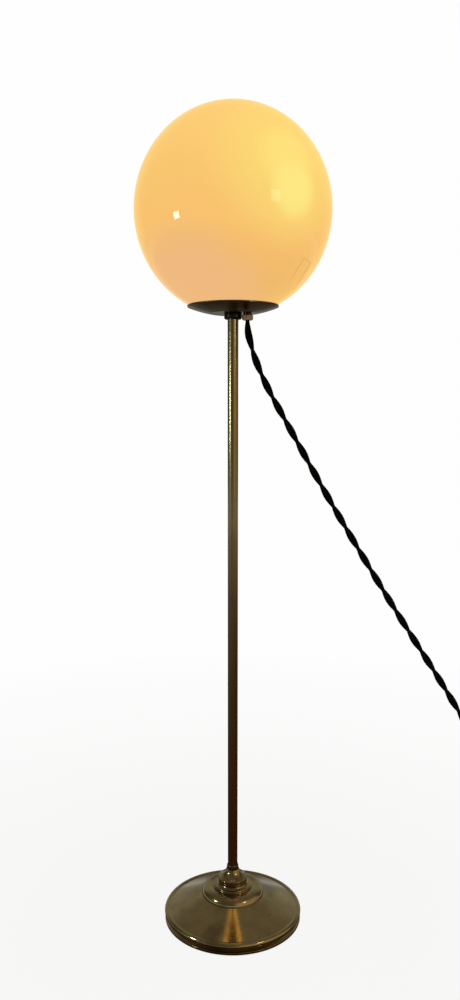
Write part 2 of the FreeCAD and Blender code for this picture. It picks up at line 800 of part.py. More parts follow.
# ---------------------------------------------------------------- routes
def rounded(route, share=0.45):
    """Straight runs joined by tangent arcs, and the radius of each arc."""
    edges = []
    radii = []
    start = route[0]
    for index in range(1, len(route) - 1):
        corner = route[index]
        back = route[index - 1] - corner
        ahead = route[index + 1] - corner
        cut = share * min(back.Length, ahead.Length)
        back.normalize()
        ahead.normalize()
        half_turn = (math.pi - back.getAngle(ahead)) / 2
        radius = cut / math.tan(half_turn)
        first = corner + back * cut
        last = corner + ahead * cut
        inward = (back + ahead).normalize()
        middle = corner + inward * (radius / math.cos(half_turn) - radius)
        edges.append(Part.LineSegment(start, first))
        edges.append(Part.Arc(first, middle, last))
        radii.append(radius)
        start = last
    edges.append(Part.LineSegment(start, route[-1]))
    return edges, radii


def swept(edges, radius):
    """Round tube along a path of edges."""
    path = Part.Wire([edge.toShape() for edge in edges])
    first = edges[0]
    start = first.value(first.FirstParameter)
    ahead = first.tangent(first.FirstParameter)[0]
    section = Part.Wire([Part.makeCircle(radius, start, ahead)])
    solid = path.makePipeShell([section], True, False)
    expected = math.pi * radius * radius * path.Length
    if abs(solid.Volume / expected - 1.0) > 0.01:
        raise ValueError(f"tube volume {solid.Volume:.1f} is not its section times its length {expected:.1f}")
    return solid


def add_tube(label, edges, radius):
    item = doc.addObject("Part::Feature", label)
    item.Label = label
    item.Shape = swept(edges, radius)
    put(keep(item))
    return item


cord_radius = size("cord_diameter").number / 2


def make_wires():
    """The cord's two strands, side by side through the bush and into the lampholder's side."""
    turn = math.radians(SIZES["grip_turn"])
    outward = Vector(math.cos(turn), math.sin(turn), 0)
    sideways = Vector(-math.sin(turn), math.cos(turn), 0)
    stud_top = (dish_floor + size("nut_height") + size("stud_above_nut")).number
    entry = (cap_base + size("entry_height")).number
    ends = (insert_base - size("terminal_head")).number
    reach = size("grip_offset").number
    terminal = size("terminal_offset").number
    line = [(reach, bush_base.number), (reach, stud_top + 1.0), (reach - 2.6, entry - 2.0),
            (reach - 8.0, entry + 1.5), (terminal - 0.2, ends - 4.0), (terminal - 1.0, ends)]
    for label, side in (("wire_live", 1), ("wire_neutral", -1)):
        shift = sideways * (side * size("strand_pitch").number / 2)
        route = [outward * place + shift + Vector(0, 0, height) for place, height in line]
        add_tube(label, rounded(route)[0], size("strand_diameter").number / 2)


# Points of the cord from the bush to the coil: along the photographed line, then down to the floor.
LEAD = [
    (20.8, -8.6, 741.0), (25.0, -10.4, 726.0), (32.5, -12.6, 708.0), (43.0, -15.2, 686.0),
    (67.0, -19.1, 644.2), (109.2, -26.3, 569.9), (155.0, -33.5, 494.4), (202.5, -40.6, 418.8),
    (256.0, -48.2, 338.0), (302.0, -56.0, 262.0), (342.0, -62.0, 190.0), (374.0, -67.0, 130.0),
    (398.0, -71.0, 82.0), (417.0, -75.0, 46.0), (438.0, -80.0, 17.0),
]
TOUCH = (464.0, -82.0)
COIL_START = (490.0, -82.0)
TAIL = [(462.0, 21.0, 10.6), (440.0, 20.0, 8.4)]
PLUG_TURN = 172.0


def make_cord():
    floor = cord_radius
    lead = [Vector(grip_x.number, grip_y.number, bush_base.number)]
    lead.append(lead[0] - Vector(0, 0, size("cord_drop").number))
    lead += [Vector(*point) for point in LEAD]
    lead += [Vector(*TOUCH, floor), Vector(*COIL_START, floor)]
    edges, radii = rounded(lead)
    add_tube("cord_lead", edges, cord_radius)
    print("cord_lead length", round(sum(edge.length() for edge in edges), 1),
          "radii", [round(radius, 1) for radius in radii])
    make_coil(Vector(*COIL_START, floor))


def make_coil(start):
    """Flat coil: the turns wind in on the floor, climb a layer in half a turn and wind out again."""
    step = size("coil_step").number / 2
    outer = size("coil_radius").number
    layer = size("coil_layer").number
    windings = 5
    radii = [outer - step * index for index in range(windings)]
    radii = radii + [outer - step * windings] + radii[::-1]
    edges = []
    place = start
    heading = 1.0
    for index, radius in enumerate(radii):
        climb = layer if index == windings else 0.0
        over = Vector(0, heading * 2 * radius, climb)
        ahead = Vector(heading, 0, 0)
        reach = over.Length / 2
        joint = place + over * 0.5 + ahead * reach
        for first, last, corner in ((place, joint, place + ahead * reach),
                                    (joint, place + over, place + over + ahead * reach)):
            edges.append(quarter(first, corner, last))
        place = place + over
        heading = -heading
    add_tube("cord_coil", edges, cord_radius)
    print("cord_coil length", round(sum(edge.length() for edge in edges), 1),
          "least gap", round(least_gap(edges), 3))
    make_tail(place)


def quarter(first, corner, last):
    """Arc that leaves first towards corner and reaches last from corner."""
    side = (corner - first).Length
    middle = (first + last) * 0.5
    half_turn = math.asin(min(1.0, (middle - corner).Length / side))
    half_turn = math.pi / 2 - half_turn
    radius = side / math.tan(half_turn)
    inward = (middle - corner).normalize()
    return Part.Arc(first, corner + inward * (radius / math.cos(half_turn) - radius), last)


def least_gap(edges):
    """Least gap between turns, measured on points of the centre line."""
    points = []
    walked = 0.0
    count = 24
    apart = 16 * cord_radius
    for edge in edges:
        long = edge.length()
        for index in range(count):
            at = edge.FirstParameter + (edge.LastParameter - edge.FirstParameter) * index / count
            points.append((walked + long * index / count, edge.value(at)))
        walked += long
    least = 1e9
    for index, (place, spot) in enumerate(points):
        for other, there in points[index + 1:]:
            if other - place > apart:
                least = min(least, spot.distanceToPoint(there))
    return least - 2 * cord_radius


def make_tail(start):
    tail = [start, start - Vector(size("cord_into_plug").number, 0, 0)]
    tail += [Vector(*point) for point in TAIL]
    turn = math.radians(PLUG_TURN)
    ahead = Vector(math.cos(turn), math.sin(turn), 0)
    height = size("plug_thickness").number / 2
    corner = tail[-1] + ahead * size("cord_into_plug").number
    end = Vector(corner.x, corner.y, height)
    tail += [end, end + ahead * size("cord_in_relief").number]
    edges, radii = rounded(tail)
    add_tube("cord_tail", edges, cord_radius)
    print("cord_tail length", round(sum(edge.length() for edge in edges), 1),
          "radii", [round(radius, 1) for radius in radii])
    make_plug(tail[-1])


# ---------------------------------------------------------------- plug
def make_plug(start):
    """Flat two-pin plug on the floor; its own X axis runs from the cord to the pins."""
    height = size("plug_thickness") / 2
    relief = size("relief_length")
    long = size("plug_length")
    overcut = size("hole_overcut")
    make_relief(start, relief)

    body = new_body("plug_body")
    plan = new_sketch(body, "XY_Plane", "plug_body_plan")
    back = size("plug_back_width") / 2
    wide = size("plug_width") / 2
    outline(plan, [
        (relief, -back),
        (relief + size("plug_taper"), -wide),
        (relief + long, -wide),
        (relief + long, wide),
        (relief + size("plug_taper"), wide),
        (relief, back),
    ])
    block = pad(body, plan, "plug_body_pad", size("plug_thickness"))
    doc.recompute()
    rim = body.newObject("PartDesign::Fillet", "plug_body_round")
    rim.Base = (block, plan_edges(block.Shape))
    rim.Radius = size("plug_round").number
    rim.setExpression("Radius", size("plug_round").text)
    body.Tip = rim
    pins = new_sketch(body, "YZ_Plane", "plug_body_pin_holes", relief + long - size("pin_seat"))
    for side in (-1, 1):
        ring_at(pins, size("pin_spacing") * (side * 0.5), height, size("pin_radius") + size("pin_clearance"))
    drill = body.newObject("PartDesign::Pocket", "plug_body_pin_pocket")
    drill.Profile = pins
    drill.Type = "Length"
    drill.Length = (size("pin_seat") + overcut).number
    drill.setExpression("Length", (size("pin_seat") + overcut).text)
    drill.Reversed = True
    screw_hole = new_sketch(body, "XY_Plane", "plug_body_screw_hole",
                            size("plug_thickness") - size("plug_screw_head"))
    ring_at(screw_hole, relief + size("plug_screw_place"), 0.0,
            size("plug_screw_radius") + size("pin_clearance"))
    sink = body.newObject("PartDesign::Pocket", "plug_body_screw_pocket")
    sink.Profile = screw_hole
    sink.Type = "Length"
    sink.Length = (size("plug_screw_head") + overcut).number
    sink.setExpression("Length", (size("plug_screw_head") + overcut).text)
    sink.Reversed = True
    body.Tip = sink
    place_on_plug(body, start, 0.0)

    pin_set = doc.addObject("Part::Feature", "plug_pins")
    pin_set.Label = "plug_pins"
    pair = []
    for side in (-1, 1):
        foot = Vector((relief + long - size("pin_seat")).number, size("pin_spacing").number * side * 0.5,
                      height.number)
        pin = Part.makeCylinder(size("pin_radius").number, (size("pin_seat") + size("pin_length")).number,
                                foot, Vector(1, 0, 0))
        tip = max(pin.Edges, key=lambda edge: edge.BoundBox.XMin)
        pair.append(pin.makeFillet(size("pin_round").number, [tip]))
    pin_set.Shape = Part.makeCompound(pair)
    place_on_plug(keep(pin_set), start, 0.0)

    screw = revolve("plug_screw", [
        (0.0, 0.0),
        (size("plug_screw_radius"), 0.0),
        (size("plug_screw_radius"), size("plug_screw_head") - size("plug_screw_edge")),
        (size("plug_screw_radius") - size("plug_screw_edge"), size("plug_screw_head")),
        (0.0, size("plug_screw_head")),
    ])
    turn = math.radians(PLUG_TURN)
    away = (relief + size("plug_screw_place")).number
    put(screw, start.x + away * math.cos(turn), start.y + away * math.sin(turn),
        size("plug_thickness") - size("plug_screw_head"), turn=PLUG_TURN)


def plan_edges(shape):
    """Names of the edges round the block's flat top and bottom, but for the one where the sleeve enters."""
    names = []
    for index, edge in enumerate(shape.Edges, start=1):
        box = edge.BoundBox
        if box.ZLength < 0.01 and box.XMax - shape.BoundBox.XMin > 0.01:
            names.append(f"Edge{index}")
    return names


def place_on_plug(item, start, z):
    item.Placement = Placement(Vector(start.x, start.y, z), Rotation(Vector(0, 0, 1), PLUG_TURN))


def make_relief(start, relief):
    """Tapered ribless sleeve that the cord's end lies in."""
    sleeve = new_body("plug_relief")
    side = new_sketch(sleeve, "XY_Plane", "plug_relief_side")
    outline(side, [
        (0.0, size("relief_bore")),
        (relief, size("relief_bore")),
        (relief, size("relief_front_radius")),
        (0.0, size("relief_back_radius")),
    ])
    turned = sleeve.newObject("PartDesign::Revolution", "plug_relief_revolution")
    turned.Profile = side
    turned.ReferenceAxis = (side, ["H_Axis"])
    turned.Angle = 360.0
    sleeve.Tip = turned
    place_on_plug(sleeve, start, size("plug_thickness").number / 2)


# ---------------------------------------------------------------- build
make_base_felt()
make_base_shell()
make_base_weight()
make_base_fasteners()
make_cushion_ring()
make_pole_cup()
make_pole_ring()
make_pole_tube()
make_neck_collar()
make_dish()
make_top_nipple()
make_globe_holder()
make_globe_seat()
make_globe()
make_cord_grip()
make_lampholder()
make_bulb()
make_wires()
make_cord()
doc.recompute()

for item in doc.Objects:
    if "Invalid" in item.State or "Error" in item.State:
        raise RuntimeError(f"{item.Label} failed: {item.State}")
for item in nodes:
    if item.Shape.isNull() or not item.Shape.isValid():
        raise RuntimeError(f"{item.Label} has no valid shape")

os.makedirs("parts", exist_ok=True)
for item in nodes:
    item.Shape.exportStep(f"parts/{item.Label}.step")
    print(f"{item.Label:16s} {item.Shape.Volume / 1000:9.2f} cm3  solids {len(item.Shape.Solids)}")
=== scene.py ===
import bpy
import math
from mathutils import Euler, Matrix, Vector


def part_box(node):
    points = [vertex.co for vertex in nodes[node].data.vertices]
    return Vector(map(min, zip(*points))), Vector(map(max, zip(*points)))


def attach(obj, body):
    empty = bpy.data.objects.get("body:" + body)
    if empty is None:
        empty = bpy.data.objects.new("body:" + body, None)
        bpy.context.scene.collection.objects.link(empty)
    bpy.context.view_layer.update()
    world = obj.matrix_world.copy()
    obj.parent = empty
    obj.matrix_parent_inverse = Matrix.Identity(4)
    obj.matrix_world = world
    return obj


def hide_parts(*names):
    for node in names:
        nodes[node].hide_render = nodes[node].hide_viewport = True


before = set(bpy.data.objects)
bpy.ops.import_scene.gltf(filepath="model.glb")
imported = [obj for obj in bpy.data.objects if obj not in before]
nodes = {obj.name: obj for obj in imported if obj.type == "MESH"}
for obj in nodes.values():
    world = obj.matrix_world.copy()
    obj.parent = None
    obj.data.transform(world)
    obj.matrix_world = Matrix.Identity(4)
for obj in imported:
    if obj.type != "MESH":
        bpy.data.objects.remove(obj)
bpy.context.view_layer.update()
scene = bpy.context.scene
print("frame loaded:", len(nodes), "nodes")


# camera, fitted to the photograph
view = {
    "place": (-0.00303, -1.03345, 0.66139),
    "tiltDown": 11.74,
    "lens": 30.573,
    "filmSize": 36.0,
    "rise": 0.0905,  # the picture shows more above the lens axis than below it
    "aside": -0.0004,
}


def makeCamera():
    data = bpy.data.cameras.new("photoCamera")
    data.lens = view["lens"]
    data.sensor_width = view["filmSize"]
    data.shift_y = view["rise"]
    data.shift_x = view["aside"]
    camera = bpy.data.objects.new("photoCamera", data)
    camera.location = view["place"]
    camera.rotation_euler = (math.radians(90.0 - view["tiltDown"]), 0.0, 0.0)
    scene.collection.objects.link(camera)
    scene.camera = camera


makeCamera()
print("camera placed")


# small helpers
def addObject(name, mesh):
    item = bpy.data.objects.new(name, mesh)
    scene.collection.objects.link(item)
    return item


def meshFrom(name, points, faces):
    mesh = bpy.data.meshes.new(name)
    mesh.from_pydata([tuple(point) for point in points], [], faces)
    mesh.validate()
    mesh.update()
    return mesh


def shadeSmooth(mesh, sharpAngle=35.0):
    mesh.polygons.foreach_set("use_smooth", [True] * len(mesh.polygons))
    mesh.set_sharp_from_angle(angle=math.radians(sharpAngle))


def latheMesh(name, profile, steps=96):
    points = []
    faces = []
    rows = len(profile)
    for step in range(steps):
        turn = 2 * math.pi * step / steps
        for radius, height in profile:
            points.append((radius * math.cos(turn), radius * math.sin(turn), height))
    for step in range(steps):
        here = step * rows
        there = (step + 1) % steps * rows
        for row in range(rows):
            after = (row + 1) % rows
            faces.append((here + row, there + row, there + after, here + after))
    return meshFrom(name, points, faces)


# cord: route from the bush to the plug
cordSizes = {
    "width": 0.0086,
    "strandWidth": 0.0043,
    "twistLength": 0.0584,  # one full twist of the pair
    "twistSlack": 0.086,  # turns that it falls behind by, as the twist starts loose at the bush
    "slackLength": 0.019,
    "ringSpacing": 0.0015,
    "strandSides": 12,
    "length": 2.35,
    "weavePitch": 0.0016,
    "weaveAround": 8,
}
cordExit = (0.01680, -0.00699, 0.76760)
leadPoints = [
    (0.01680, -0.00699, 0.7556), (0.0208, -0.0086, 0.7410), (0.0250, -0.0104, 0.7260),
    (0.0325, -0.0126, 0.7080), (0.0430, -0.0152, 0.6860), (0.0670, -0.0191, 0.6442),
    (0.1092, -0.0263, 0.5699), (0.1550, -0.0335, 0.4944), (0.2025, -0.0406, 0.4188),
    (0.2560, -0.0482, 0.3380), (0.3020, -0.0560, 0.2620), (0.3420, -0.0620, 0.1900),
    (0.3740, -0.0670, 0.1300), (0.3980, -0.0710, 0.0820), (0.4170, -0.0750, 0.0460),
    (0.4380, -0.0800, 0.0170), (0.4640, -0.0820, 0.0043),
]
coil = {
    "start": (0.490, -0.082),
    "radii": [0.048, 0.044, 0.040, 0.036, 0.032, 0.028, 0.032, 0.036, 0.040, 0.044, 0.048],
    "climbAt": 5,
    "climb": 0.008,
    "pointsPerHalf": 8,
}
tailPoints = [
    (0.4760, 0.0220, 0.01175), (0.4620, 0.0210, 0.0106), (0.4400, 0.0200, 0.0084),
    (0.42614, 0.02195, 0.0070), (0.41425, 0.02362, 0.0070),
]


def coilPoints():
    x, y = coil["start"]
    height = cordSizes["width"] / 2
    count = coil["pointsPerHalf"]
    drawnIn = (3 + math.cos(math.pi / count)) / 4  # a smooth line's share of its points' radius
    heading = 1
    points = []
    for index, radius in enumerate(coil["radii"]):
        centre = y + heading * radius
        climb = coil["climb"] if index == coil["climbAt"] else 0.0
        for step in range(count):
            share = (step + 0.5) / count
            turn = math.pi * share
            points.append((x + heading * math.sin(turn) * radius / drawnIn,
                           centre - heading * math.cos(turn) * radius / drawnIn,
                           height + climb * share))
        y += heading * 2 * radius
        height += climb
        heading = -heading
    return points


def makeRoute(points):
    curve = bpy.data.curves.new("cordRoute", "CURVE")
    curve.dimensions = "3D"
    curve.resolution_u = 24
    spline = curve.splines.new("NURBS")
    spline.points.add(len(points) - 1)
    for point, place in zip(spline.points, points):
        point.co = (*place, 1.0)
    spline.order_u = 3
    spline.use_endpoint_u = True
    item = bpy.data.objects.new("cordRoute", curve)
    scene.collection.objects.link(item)
    bpy.context.view_layer.update()
    line = bpy.data.meshes.new_from_object(item)
    places = [vertex.co.copy() for vertex in line.vertices]
    bpy.data.objects.remove(item)
    bpy.data.meshes.remove(line)
    return places


def spacedAlong(line, spacing):
    lengths = [0.0]
    for before, after in zip(line, line[1:]):
        lengths.append(lengths[-1] + (after - before).length)
    count = max(2, round(lengths[-1] / spacing))
    places = []
    index = 0
    for step in range(count + 1):
        want = lengths[-1] * step / count
        while index < len(line) - 2 and lengths[index + 1] < want:
            index += 1
        span = lengths[index + 1] - lengths[index]
        share = (want - lengths[index]) / span if span > 0 else 0.0
        places.append(line[index].lerp(line[index + 1], share))
    return places, lengths[-1]


def framesAlong(places):
    frames = []
    side = Vector((0.0, -1.0, 0.0))
    for index, place in enumerate(places):
        before = places[max(0, index - 1)]
        after = places[min(len(places) - 1, index + 1)]
        ahead = (after - before).normalized()
        side = (side - ahead * side.dot(ahead)).normalized()
        frames.append((place, ahead, side, ahead.cross(side)))
    return frames


def strandTube(frames, totalLength, turnsOffset, points, faces, marks):
    sides = cordSizes["strandSides"]
    radius = cordSizes["strandWidth"] / 2
    offset = (cordSizes["width"] - cordSizes["strandWidth"]) / 2
    base = len(points)
    spacing = totalLength / (len(frames) - 1)
    for index, (place, ahead, side, up) in enumerate(frames):
        away = index * spacing
        slack = cordSizes["twistSlack"] * (1 - math.exp(-away / cordSizes["slackLength"]))
        turn = 2 * math.pi * (away / cordSizes["twistLength"] - slack + turnsOffset)
        centre = place + (side * math.cos(turn) + up * math.sin(turn)) * offset
        for corner in range(sides):
            edge = turn + 2 * math.pi * corner / sides
            points.append(centre + (side * math.cos(edge) + up * math.sin(edge)) * radius)
    for index in range(len(frames) - 1):
        here = base + index * sides
        there = here + sides
        low = index * spacing / cordSizes["weavePitch"]
        high = (index + 1) * spacing / cordSizes["weavePitch"]
        for corner in range(sides):
            after = (corner + 1) % sides
            faces.append((here + corner, here + after, there + after, there + corner))
            left = corner / sides
            right = (corner + 1) / sides
            marks.append([(low, left), (low, right), (high, right), (high, left)])
    last = base + (len(frames) - 1) * sides
    faces.append(tuple(base + corner for corner in reversed(range(sides))))
    faces.append(tuple(last + corner for corner in range(sides)))
    marks.extend([[(0.0, 0.0)] * sides] * 2)


def makeCord():
    route = [cordExit] + leadPoints + [(*coil["start"], cordSizes["width"] / 2)] + coilPoints() + tailPoints
    line = makeRoute(route)
    places, totalLength = spacedAlong(line, cordSizes["ringSpacing"])
    frames = framesAlong(places)
    points = []
    faces = []
    marks = []
    for half in (0.0, 0.5):
        strandTube(frames, totalLength, half, points, faces, marks)
    mesh = bpy.data.meshes.new("cord")
    mesh.from_pydata([tuple(point) for point in points], [], faces)
    weave = mesh.uv_layers.new(name="weave")
    weave.data.foreach_set("uv", [value for face in marks for spot in face for value in spot])
    shadeSmooth(mesh)
    print("cord length", round(totalLength, 3), "faces", len(faces))
    return addObject("cord", mesh), places


cord, cordLine = makeCord()


# shader nodes
def startMaterial(name):
    material = bpy.data.materials.new(name)
    material.use_nodes = True
    tree = material.node_tree
    return material, tree, tree.nodes["Principled BSDF"]


def addNode(tree, kind, inputs=None, **settings):
    node = tree.nodes.new(kind)
    for name, value in settings.items():
        setattr(node, name, value)
    for name, value in (inputs or {}).items():
        if isinstance(value, bpy.types.NodeSocket):
            tree.links.new(value, node.inputs[name])
        else:
            node.inputs[name].default_value = value
    return node


def link(tree, value, socket):
    tree.links.new(value, socket)


def calculate(tree, operation, first, second=0.0):
    return addNode(tree, "ShaderNodeMath", {0: first, 1: second}, operation=operation).outputs[0]


def objectPlace(tree, scale=(1.0, 1.0, 1.0)):
    spot = addNode(tree, "ShaderNodeTexCoord")
    mapping = addNode(tree, "ShaderNodeMapping", {"Vector": spot.outputs["Object"]})
    mapping.inputs["Scale"].default_value = scale
    return mapping.outputs[0]


def noise(tree, place, scale, detail=4.0, roughness=0.55):
    return addNode(tree, "ShaderNodeTexNoise", {"Vector": place, "Scale": scale, "Detail": detail,
                                                "Roughness": roughness}).outputs["Fac"]


def ramp(tree, value, stops):
    node = addNode(tree, "ShaderNodeValToRGB", {"Fac": value})
    elements = node.color_ramp.elements
    while len(elements) < len(stops):
        elements.new(0.5)
    for element, (position, colour) in zip(elements, stops):
        element.position = position
        element.color = (*colour, 1.0)
    return node.outputs["Color"]


def grey(value):
    return (value, value, value)


def mixColour(tree, share, first, second, blend="MIX"):
    node = addNode(tree, "ShaderNodeMix", data_type="RGBA", blend_type=blend)
    for socket, value in ((node.inputs[0], share), (node.inputs[6], first), (node.inputs[7], second)):
        if isinstance(value, bpy.types.NodeSocket):
            tree.links.new(value, socket)
        elif isinstance(value, tuple):
            socket.default_value = (*value, 1.0)
        else:
            socket.default_value = value
    return node.outputs[2]


def spread(tree, value, low, high, fromLow=0.0, fromHigh=1.0):
    return addNode(tree, "ShaderNodeMapRange", {"Value": value, "From Min": fromLow, "From Max": fromHigh,
                                                "To Min": low, "To Max": high}).outputs[0]


def bump(tree, shader, height, strength, distance):
    node = addNode(tree, "ShaderNodeBump", {"Height": height, "Strength": strength, "Distance": distance})
    link(tree, node.outputs[0], shader.inputs["Normal"])


def towards(tree, way, aim, start, full):
    aimed = tuple(Vector(aim).normalized())
    dot = addNode(tree, "ShaderNodeVectorMath", {0: way, 1: aimed}, operation="DOT_PRODUCT")
    return addNode(tree, "ShaderNodeMapRange", {"Value": dot.outputs["Value"], "From Min": start,
                                                "From Max": full},
                   interpolation_type="SMOOTHERSTEP").outputs[0]


# lays each tint over the tone on its own side; start and full are cosines from the way it lies
def tintSides(tree, way, tone, tints):
    for tint in tints:
        share = towards(tree, way, tint["way"], tint["start"], tint["full"])
        tone = mixColour(tree, share, tone, tint["colour"])
    return tone


# studio
studio = {
    "background": 0.99,
    "roomDark": (0.045, 0.036, 0.026),
    "roomTints": [  # the back, the left, the right and the top of the room that the lamp mirrors
        {"way": (0.0, 0.95, 0.30), "start": 0.35, "full": 0.95, "colour": (0.300, 0.290, 0.250)},
        {"way": (-0.80, -0.55, 0.15), "start": 0.35, "full": 0.95, "colour": (0.125, 0.155, 0.110)},
        {"way": (0.82, -0.55, 0.20), "start": 0.45, "full": 0.95, "colour": (0.520, 0.375, 0.210)},
        {"way": (0.0, 0.0, 1.0), "start": 0.30, "full": 1.0, "colour": (0.190, 0.170, 0.135)},
    ],
}

studioLights = {
    "windowLight": {"place": (-1.351, -0.630, 0.700), "aim": (0.0, 0.0, 0.8), "size": (0.185, 0.155),
                    "power": 2.8, "onlyMirrored": True},
    "sideWindow": {"place": (1.150, -1.110, 1.060), "aim": (0.0, 0.0, 0.8), "size": (0.30, 0.26),
                   "power": 1.0, "onlyMirrored": True},
    "softbox": {"place": (0.15, -0.35, 2.3), "aim": (0.0, 0.0, 0.4), "size": (1.3, 1.3),
                "power": 14.0, "onlyMirrored": False},
}

paper = {
    "radius": 6.0,
    "sides": 96,
    "drop": 0.0002,  # how far the paper lies under the foot
    "tone": 0.86,
    "roughness": 0.9,
    "fade": (0.25, 1.3),  # distances between which the near floor gives way to the far one
    "nearGlow": 0.90,  # share of its own light that the floor has near the foot
    "glossNear": (0.090, 0.052, 0.028),  # what polished metal shows of the floor round the foot
    "glossLeft": (0.400, 0.385, 0.345),
    "glossRight": (0.240, 0.165, 0.065),
    "glossAcross": 0.8,  # how far to each side the left and right tones run into each other
    "glossFar": (0.260, 0.240, 0.200),
    "glossLow": (0.500, 0.490, 0.480),  # the same floor, seen almost edge on
    "lowSlope": (0.08, 0.30),
    "horizon": (1.6, 4.0),
}


def addAreaLight(name, place, aim, size, power, onlyMirrored):
    data = bpy.data.lights.new(name, "AREA")
    data.shape = "RECTANGLE"
    data.size, data.size_y = size
    data.energy = power
    light = bpy.data.objects.new(name, data)
    light.location = place
    light.rotation_euler = (Vector(aim) - Vector(place)).to_track_quat("-Z", "Y").to_euler()
    light.visible_glossy = onlyMirrored
    light.visible_diffuse = not onlyMirrored
    scene.collection.objects.link(light)


def makeWorld():
    world = bpy.data.worlds.new("studioWorld")
    world.use_nodes = True
    scene.world = world
    tree = world.node_tree
    tree.nodes.clear()
    way = addNode(tree, "ShaderNodeTexCoord").outputs["Generated"]
    colour = tintSides(tree, way, studio["roomDark"], studio["roomTints"])
    room = addNode(tree, "ShaderNodeBackground", {"Color": colour, "Strength": 1.0})
    seen = addNode(tree, "ShaderNodeBackground", {"Color": (*grey(1.0), 1.0),
                                                  "Strength": studio["background"]})
    path = addNode(tree, "ShaderNodeLightPath").outputs
    direct = calculate(tree, "MAXIMUM", path["Is Camera Ray"], path["Is Transmission Ray"])
    mix = addNode(tree, "ShaderNodeMixShader", {0: direct, 1: room.outputs[0], 2: seen.outputs[0]})
    addNode(tree, "ShaderNodeOutputWorld", {"Surface": mix.outputs[0]})


def paperDisc():
    points = [(0.0, 0.0, 0.0)]
    faces = []
    for corner in range(paper["sides"]):
        turn = 2 * math.pi * corner / paper["sides"]
        points.append((paper["radius"] * math.cos(turn), paper["radius"] * math.sin(turn), 0.0))
        faces.append((0, 1 + corner, 1 + (corner + 1) % paper["sides"]))
    return meshFrom("studioFloor", points, faces)


def paperFinish():
    material, tree, shader = startMaterial("studioPaper")
    path = addNode(tree, "ShaderNodeLightPath").outputs
    inMirror = path["Is Glossy Ray"]
    place = addNode(tree, "ShaderNodeTexCoord").outputs["Object"]
    away = addNode(tree, "ShaderNodeVectorMath", {0: place}, operation="LENGTH").outputs["Value"]
    across = addNode(tree, "ShaderNodeSeparateXYZ", {"Vector": place}).outputs["X"]
    rightShare = spread(tree, across, 0.0, 1.0, -paper["glossAcross"], paper["glossAcross"])
    farGloss = mixColour(tree, rightShare, paper["glossLeft"], paper["glossRight"])
    farShare = spread(tree, away, 0.0, 1.0, *paper["fade"])
    gloss = mixColour(tree, farShare, paper["glossNear"], farGloss)
    tone = mixColour(tree, inMirror, grey(paper["tone"]), gloss)
    link(tree, tone, shader.inputs["Base Color"])
    shader.inputs["Roughness"].default_value = paper["roughness"]
    glow = addNode(tree, "ShaderNodeEmission", {"Strength": studio["background"]})
    incoming = addNode(tree, "ShaderNodeNewGeometry").outputs["Incoming"]
    slope = addNode(tree, "ShaderNodeSeparateXYZ", {"Vector": incoming}).outputs["Z"]
    low = spread(tree, slope, 1.0, 0.0, *paper["lowSlope"])
    mirroredTone = mixColour(tree, low, paper["glossFar"], paper["glossLow"])
    link(tree, mixColour(tree, inMirror, grey(1.0), mirroredTone), glow.inputs["Color"])
    seenGlow = spread(tree, away, paper["nearGlow"], 1.0, *paper["fade"])
    seen = calculate(tree, "MULTIPLY", seenGlow, path["Is Camera Ray"])
    horizon = spread(tree, away, 0.0, 1.0, *paper["horizon"])
    mirrored = calculate(tree, "MULTIPLY", calculate(tree, "MAXIMUM", horizon, low), inMirror)
    both = calculate(tree, "ADD", seen, mirrored)
    mix = addNode(tree, "ShaderNodeMixShader", {0: both, 1: shader.outputs[0], 2: glow.outputs[0]})
    link(tree, mix.outputs[0], tree.nodes["Material Output"].inputs["Surface"])
    return material


def makeFloor():
    floor = addObject("studioFloor", paperDisc())
    floor.location.z = -paper["drop"]
    floor.data.materials.append(paperFinish())


makeWorld()
makeFloor()
for lightName, light in studioLights.items():
    addAreaLight(lightName, **light)
scene.view_settings.view_transform = "Standard"
print("studio made")


# finishes
def spunLines(tree, spacing):
    spot = addNode(tree, "ShaderNodeTexCoord").outputs["Object"]
    split = addNode(tree, "ShaderNodeSeparateXYZ", {"Vector": spot}).outputs
    flat = addNode(tree, "ShaderNodeCombineXYZ", {"X": split["X"], "Y": split["Y"]}).outputs[0]
    away = addNode(tree, "ShaderNodeVectorMath", {0: flat}, operation="LENGTH").outputs["Value"]
    line = addNode(tree, "ShaderNodeCombineXYZ", {"X": away, "Y": split["Z"]}).outputs[0]
    return noise(tree, line, 1.0 / spacing, 3.0, 0.6)


def drawnLines(tree, scale):
    return noise(tree, objectPlace(tree, scale), 1.0, 3.0)


brass = {
    "patchScale": 26.0,
    "patchStops": (0.33, 0.50, 0.70),
    "spotScale": 420.0,
    "spotStops": (0.60, 0.70),
    "coat": 0.35,  # old lacquer
    "coatRough": (0.07, 0.16),
    "wear": (0.12, 0.42),
    "spinSpacing": 0.0009,
    "spinBump": 0.07,
    "drawScale": (60.0, 60.0, 1500.0),
    "drawBump": 0.05,
    "bumpDepth": 0.0002,
}

footTones = {
    "golden": (0.520, 0.395, 0.185),
    "olive": (0.400, 0.320, 0.155),
    "brown": (0.250, 0.175, 0.085),
    "rough": (0.05, 0.19),
}

darkTones = {
    "golden": (0.250, 0.195, 0.135),
    "olive": (0.150, 0.100, 0.062),
    "brown": (0.075, 0.042, 0.026),
    "rough": (0.24, 0.42),
}

poleTones = {
    "golden": (0.470, 0.380, 0.190),
    "olive": (0.330, 0.270, 0.120),
    "brown": (0.210, 0.150, 0.070),
    "rough": (0.15, 0.26),
    "along": 0.25,  # draws the patches out along the pole
    "shadeBands": [  # painted shade: darker, redder tones for the lower pole and its foot, in place of the reflections that fade lower down, with the heights where they fade out
        {"colour": (0.200, 0.110, 0.042), "share": 0.75, "fade": (0.40, 0.66)},
        {"colour": (0.520, 0.220, 0.080), "share": 0.7, "fade": (0.10, 0.32)},
    ],
}


